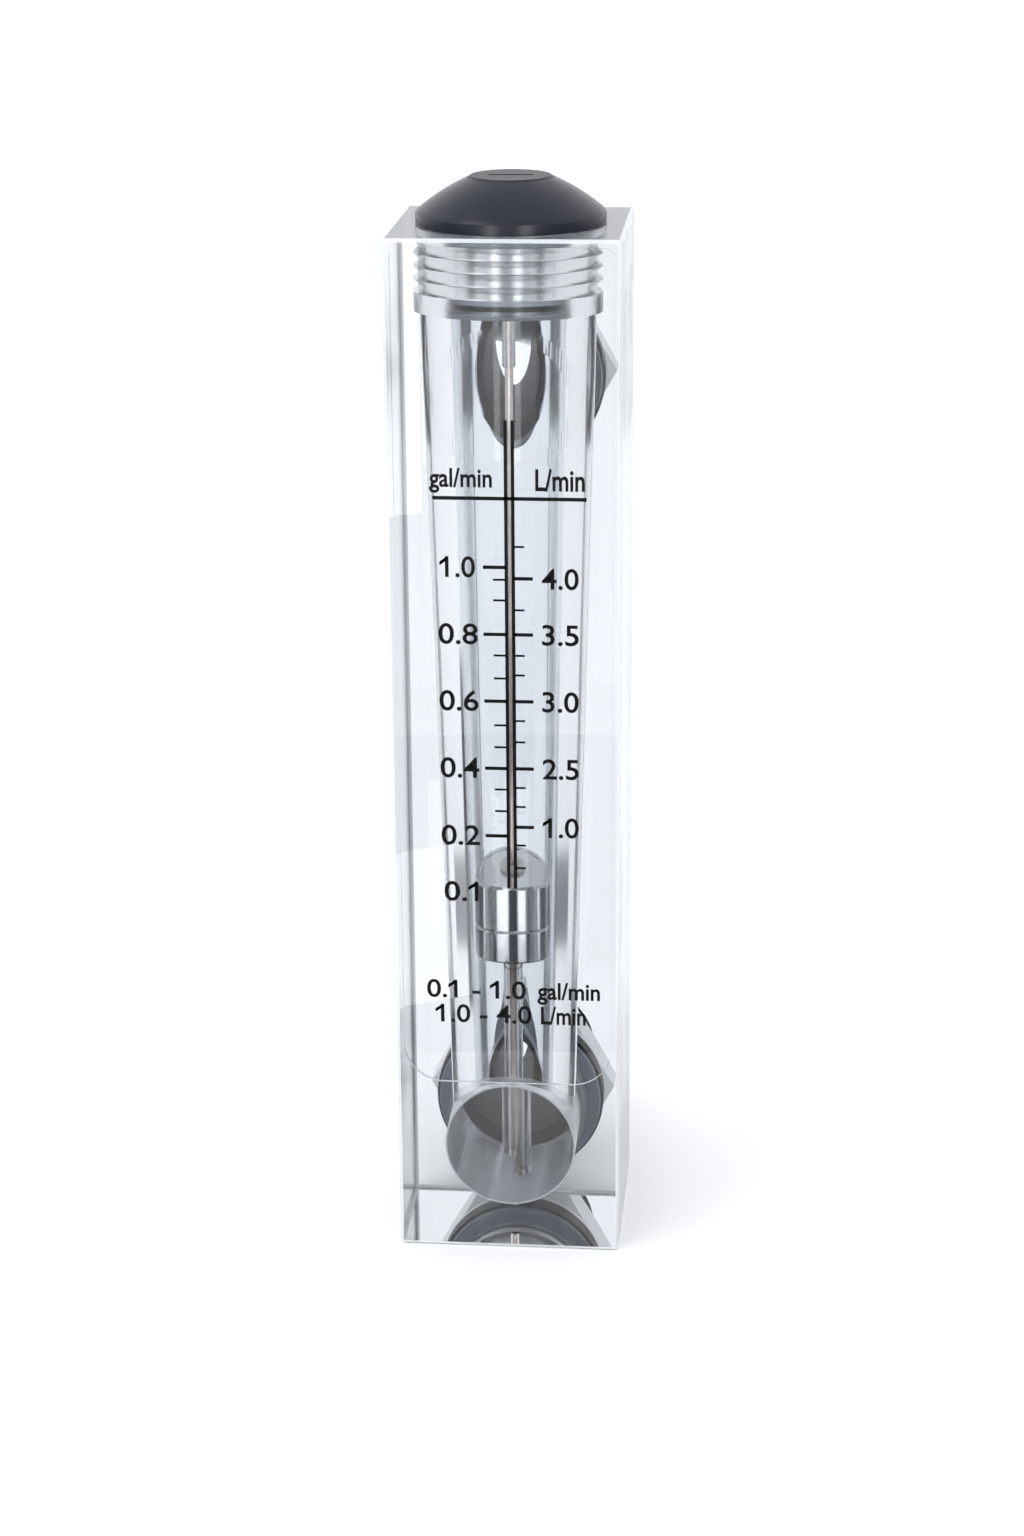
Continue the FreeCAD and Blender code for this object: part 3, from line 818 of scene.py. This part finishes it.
def flag_the_ones(mesh):
    """Each narrow letter gets the small flag of an engraved 1."""
    work = bmesh.new()
    work.from_mesh(mesh)
    seen = set()
    ones = []
    for vertex in work.verts:
        if vertex in seen:
            continue
        island, queue = [], [vertex]
        seen.add(vertex)
        while queue:
            v = queue.pop()
            island.append(v.co.copy())
            for edge in v.link_edges:
                other = edge.other_vert(v)
                if other not in seen:
                    seen.add(other)
                    queue.append(other)
        x = [c.x for c in island]
        y = [c.y for c in island]
        if max(y) - min(y) > NARROW * (max(x) - min(x)):
            ones.append((min(x), max(x), max(y)))
    for left, right, top in ones:
        thick = right - left
        outline = [(left + thick * 0.5, top), (left - thick * 1.5, top - thick * 1.5),
                   (left - thick * 1.5, top - thick * 2.6), (left + thick * 0.5, top - thick * 1.1)]
        front = [work.verts.new((x, y, 0.5)) for x, y in outline]
        back = [work.verts.new((x, y, -0.5)) for x, y in outline]
        work.faces.new(front)
        work.faces.new(back[::-1])
        for i in range(4):
            k = (i + 1) % 4
            work.faces.new((front[k], front[i], back[i], back[k]))
    bmesh.ops.recalc_face_normals(work, faces=work.faces[:])
    work.to_mesh(mesh)
    work.free()


print("letters over", NARROW, "times as tall as wide are ones")

# %% [markdown]
# Text is a curve, so it is made a mesh first and only then moved: the finished object stays at
# the origin with its place in its mesh.  It is stretched to the height and width it has on the
# block, in millimetres.  A small offset makes the strokes as heavy as the printed ones.

# %% One printed word or number
LETTER, WORD = 0.012, 0.02      # how far the strokes are thickened, in heights of the font


def printed_text(name, text, centre_x, centre_z, tall, wide, weight):
    curve = bpy.data.curves.new(name + "_text", "FONT")
    curve.body = text
    curve.align_x = "CENTER"
    curve.extrude = 0.5
    curve.resolution_u = 6
    curve.offset = weight
    source = bpy.data.objects.new(name + "_text", curve)
    bpy.context.collection.objects.link(source)
    bpy.context.view_layer.update()
    mesh = bpy.data.meshes.new_from_object(source)
    bpy.data.objects.remove(source)
    if not any(c.isalpha() for c in text):
        flag_the_ones(mesh)
    xs = [v.co.x for v in mesh.vertices]
    ys = [v.co.y for v in mesh.vertices]
    sy = tall * MM / (max(ys) - min(ys))
    sx = wide * MM / (max(xs) - min(xs))
    mx = (max(xs) + min(xs)) / 2
    my = (max(ys) + min(ys)) / 2
    for v in mesh.vertices:
        x, y, z = v.co
        v.co = (centre_x * MM + (x - mx) * sx, ink_mid - z * INK, centre_z * MM + (y - my) * sy)
    mesh.name = name
    mesh.materials.clear()
    mesh.materials.append(black_ink)
    piece = bpy.data.objects.new(name, mesh)
    bpy.context.collection.objects.link(piece)
    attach(piece, "block")
    printed.append(piece)


print("strokes thickened by", LETTER, "or", WORD)

# %% [markdown]
# The numbers stand level with their marks.  The units are written plainly, gallons on the left
# and litres on the right.  The two rows near the base give the ranges in plain numbers.

# %% Numbers, units and ranges
for text, height in left_numbers.items():
    wide = 5.0 if "1" in text else 5.6
    printed_text("left_" + text, text, -6.6, height, 3.1, wide, LETTER)
for text, height in right_numbers.items():
    printed_text("right_" + text, text, 7.9, height, 3.1, 5.2, LETTER)

# Name, text, centre across, centre up, height and width in millimetres, and weight.
words = [("unit_left", "gal/min", -6.0, 118.4, 3.6, 8.8, WORD),
         ("unit_right", "L/min", 7.9, 118.6, 3.2, 6.9, WORD),
         ("range_left", "0.1 - 1.0", -4.6, 41.8, 2.9, 14.6, LETTER),
         ("range_left_unit", "gal/min", 9.0, 41.4, 3.6, 9.2, WORD),
         ("range_right", "1.0 - 4.0", -3.6, 37.9, 2.9, 14.2, LETTER),
         ("range_right_unit", "L/min", 8.2, 37.9, 2.9, 6.6, WORD)]
for word in words:
    printed_text(*word)
print("printed", len(printed), "pieces")

# %% [markdown]
# ## Studio
# Clear plastic shows what stands behind it, so it is set on a white floor that fills the view
# and runs on into a white sky.  The floor is matt paper, and takes only a faint shadow.

# %% Floor
FLOOR_REACH = 6.0
FLOOR_DROP = 0.1 * MM           # so that the block's base and the floor don't coincide


def floor_material():
    material, tree = new_material("studio_floor_white")
    coords = add(tree, "ShaderNodeTexCoord", (-4, 0))
    paper = add(tree, "ShaderNodeTexNoise", (-3, 0), values={"Scale": 40.0, "Detail": 3.0},
                links={"Vector": coords.outputs["Object"]})
    rough = add(tree, "ShaderNodeMapRange", (-2, 0), values={3: 0.75, 4: 0.9},
                links={0: paper.outputs["Fac"]})
    shader = add(tree, "ShaderNodeBsdfPrincipled", (-1, 0), values={"Base Color": linear(0xFFFFFF)},
                 links={"Roughness": rough.outputs[0]})
    add(tree, "ShaderNodeOutputMaterial", (0, 0), links={"Surface": shader.outputs[0]})
    return material


def make_floor():
    mesh = bpy.data.meshes.new("studio_floor")
    low = block_low.z - FLOOR_DROP
    corners = [(-1, -1), (1, -1), (1, 1), (-1, 1)]
    mesh.from_pydata([(x * FLOOR_REACH, y * FLOOR_REACH, low) for x, y in corners], [],
                     [(0, 1, 2, 3)])
    mesh.materials.append(floor_material())
    floor = bpy.data.objects.new("studio_floor", mesh)
    bpy.context.collection.objects.link(floor)


make_floor()
print("floor", 2 * FLOOR_REACH, "m wide")

# %% [markdown]
# One large soft box stands high on the left, in front.  It gives the cap its soft highlight and
# throws the faint shadow to the right.  The Standard view keeps the white floor white.

# %% The soft box
def soft_light(name, at, towards, wide, tall, watts):
    data = bpy.data.lights.new(name, "AREA")
    data.shape = "RECTANGLE"
    data.size = wide
    data.size_y = tall
    data.energy = watts
    lamp = bpy.data.objects.new(name, data)
    aim = Vector(towards) - Vector(at)
    lamp.location = at
    lamp.rotation_euler = aim.to_track_quat("-Z", "Y").to_euler()
    bpy.context.collection.objects.link(lamp)
    return lamp


top_light = soft_light("top_soft_box", (-0.35, -0.25, 0.75), (0, 0, 0.1), 0.5, 0.4, 1.6)
bpy.context.scene.view_settings.view_transform = "Standard"
print("soft box on,", round(top_light.data.energy, 2), "W")

# %% [markdown]
# Polished steel and clear plastic only show their surroundings.  Photographers put dark and
# white cards round them to draw their edges, and hide the cards from the picture.  Here a card
# glows with its own tone and is hidden from the camera, from soft light, from shadows and from
# the milky volume, so that only reflections and refractions find it.

# %% A card that only polished and clear pieces see
def reflector(name, corners, colour, strength):
    material, tree = new_material(name)
    glow = add(tree, "ShaderNodeEmission", (-1, 0),
               values={"Color": linear(colour), "Strength": strength})
    add(tree, "ShaderNodeOutputMaterial", (0, 0), links={"Surface": glow.outputs[0]})
    mesh = bpy.data.meshes.new(name)
    mesh.from_pydata(corners, [], [tuple(range(len(corners)))])
    mesh.materials.append(material)
    piece = bpy.data.objects.new(name, mesh)
    bpy.context.collection.objects.link(piece)
    piece.visible_camera = False
    piece.visible_diffuse = False
    piece.visible_shadow = False
    piece.visible_volume_scatter = False


def in_front(degrees, reach, height):
    """A point in front of the meter, at an angle to the right of straight ahead."""
    turn = math.radians(degrees)
    return (reach * math.sin(turn), -reach * math.cos(turn), height)


print("straight ahead is", in_front(0, 1, 0))

# %% [markdown]
# Grey cards lie on the floor round the front, darker ahead than at the sides, and give the
# float its dark edges.  White strips stand upright: two low ones light the float, and two high
# ones the plug's thread.  A dark half disc stands right behind the upper half of the outlet's
# bore as painted shade, so that the port looks deep.

# %% Cards round the meter
CARD_HEIGHT = 0.6 * MM
STRIP_REACH = 110 * MM
CARD_GLOW, DISC_GLOW = 0.9, 1.0
DISC_RADIUS, DISC_GAP = 9.6 * MM, 3 * MM

# Name, first and last angle, nearest and farthest reach in metres, and tone.
dark_cards = [("front", -75, 75, 0.085, 0.26, 0x50545A),
              ("left", -120, -75, 0.108, 0.15, 0x969BA2),
              ("right", 75, 120, 0.108, 0.15, 0x969BA2)]
for name, first, last, inner, outer, tone in dark_cards:
    near = [in_front(a, inner, CARD_HEIGHT) for a in range(first, last + 1, 5)]
    far = [in_front(a, outer, CARD_HEIGHT) for a in range(last, first - 1, -5)]
    reflector(name + "_dark_card", near + far, tone, CARD_GLOW)

# Name, first and last angle, foot and head in metres, and glow.
strips = [("low_left", -48, -8, 0.0, 0.03, 3.2), ("low_right", 20, 48, 0.0, 0.03, 3.2),
          ("high_left", -24, -12, 0.09, 0.18, 5.5), ("high_right", 16, 28, 0.09, 0.18, 5.5)]
for name, first, last, low, high, glow in strips:
    foot = [in_front(a, STRIP_REACH, low) for a in (first, last)]
    head = [in_front(a, STRIP_REACH, high) for a in (last, first)]
    reflector(name + "_strip", foot + head, 0xFFFFFF, glow)

# Painted shade: a dark glowing half disc behind the outlet's bore darkens the port.
behind = span("outlet_fitting")[1].y + DISC_GAP
disc = []
for turn in range(-12, 193, 12):
    across, up = math.cos(math.radians(turn)), math.sin(math.radians(turn))
    disc.append((DISC_RADIUS * across, behind, outlet_z + DISC_RADIUS * up))
reflector("outlet_shadow", disc, 0x262C36, DISC_GLOW)
print("cards:", len(dark_cards), "grey,", len(strips), "white, and a disc")

# %% [markdown]
# The sky is one even, almost white tone, a little brighter than white, so that the floor and
# the background come out as one.

# %% The sky
SKY_STRENGTH = 1.2


def make_world():
    world = bpy.data.worlds.new("studio_air")
    bpy.context.scene.world = world
    world.use_nodes = True
    tree = world.node_tree
    tree.nodes.clear()
    sky = add(tree, "ShaderNodeBackground", (0, 0),
              values={"Color": linear(0xF6F8FA), "Strength": SKY_STRENGTH})
    add(tree, "ShaderNodeOutputWorld", (1, 0), links={0: sky.outputs[0]})


make_world()
print("sky strength", SKY_STRENGTH)

# %% [markdown]
# The camera stands a little to the right of the meter and looks down on it, with a short
# telephoto lens, a little under half a metre away.  Three turns aim it: round the upright axis,
# down from level, and a slight roll.

# %% Camera
LENS, SENSOR = 72.63, 36.0      # in millimetres
TURN, DOWN, ROLL = 5.31, 18.851, -0.444     # in degrees


def make_camera():
    data = bpy.data.cameras.new("camera")
    data.lens = LENS
    data.sensor_width = SENSOR
    data.clip_start = 10 * MM
    camera = bpy.data.objects.new("camera", data)
    turn = Matrix.Rotation(math.radians(TURN), 3, "Z")
    tip = Matrix.Rotation(math.radians(90.0 - DOWN), 3, "X")
    roll = Matrix.Rotation(math.radians(ROLL), 3, "Z")
    camera.rotation_euler = (turn @ tip @ roll).to_euler()
    camera.location = (0.0398, -0.4330, 0.2198)
    bpy.context.collection.objects.link(camera)
    bpy.context.scene.camera = camera


make_camera()
print("camera looks down by", round(DOWN, 1), "degrees")
